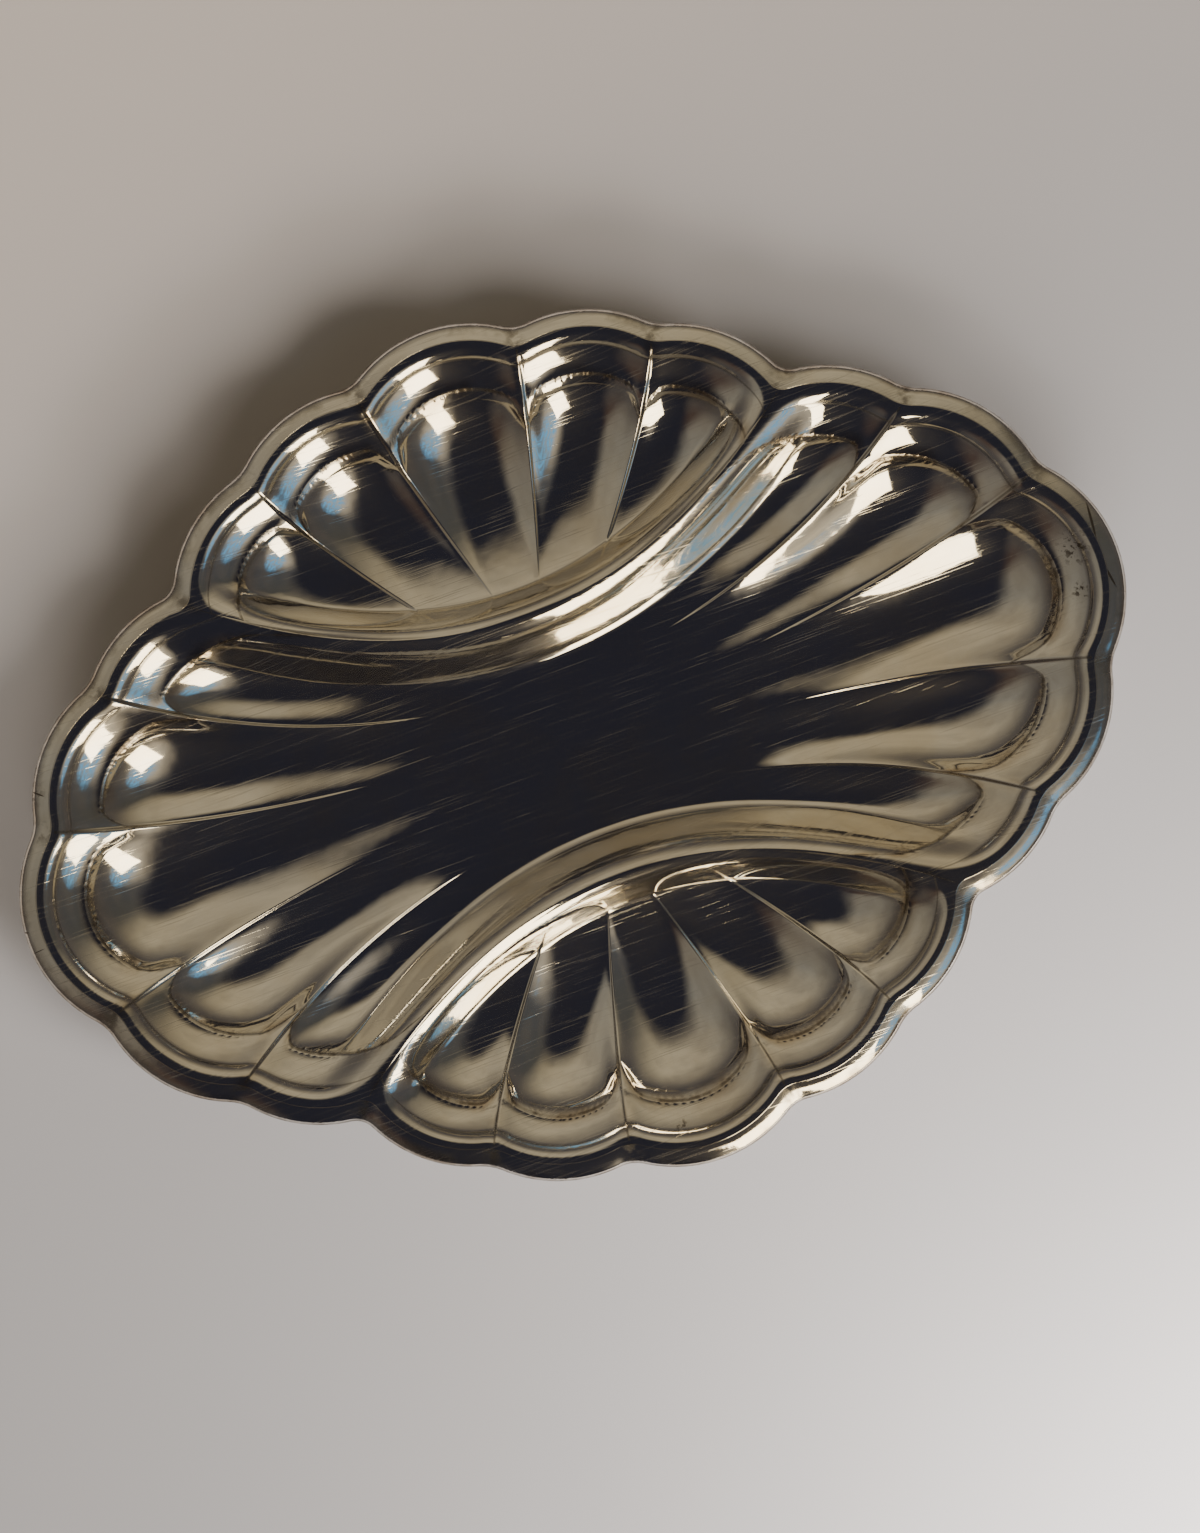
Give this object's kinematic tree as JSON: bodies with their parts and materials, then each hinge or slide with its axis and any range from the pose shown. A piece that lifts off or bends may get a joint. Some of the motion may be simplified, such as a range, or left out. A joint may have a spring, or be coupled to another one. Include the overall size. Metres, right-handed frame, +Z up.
{
  "type": "divided serving platter",
  "caption": "Oblong scalloped serving platter of fluted pressed metal, split into compartments by two curved dividers, with a half-round rolled rim.",
  "frame": {"origin": "middle of the flat underside that rests on the table", "axes": "+X along the platter's length, +Y across it towards the back compartment, +Z up out of the compartments"},
  "size_m": [0.3194, 0.2424, 0.02],
  "materials": {
    "plated_sheet": "polished silver plate on brass sheet, lightly tarnished, with fine scratches",
    "plated_border": "polished silver plate on brass strip, more tarnished along its outer edge",
    "core_wire": "bare wire, hidden in the roll"
  },
  "bodies": {
    "root": {"dish_pressing": "plated_sheet", "rim_border": "plated_border", "rim_core_wire": "core_wire"}
  },
  "joints": []
}
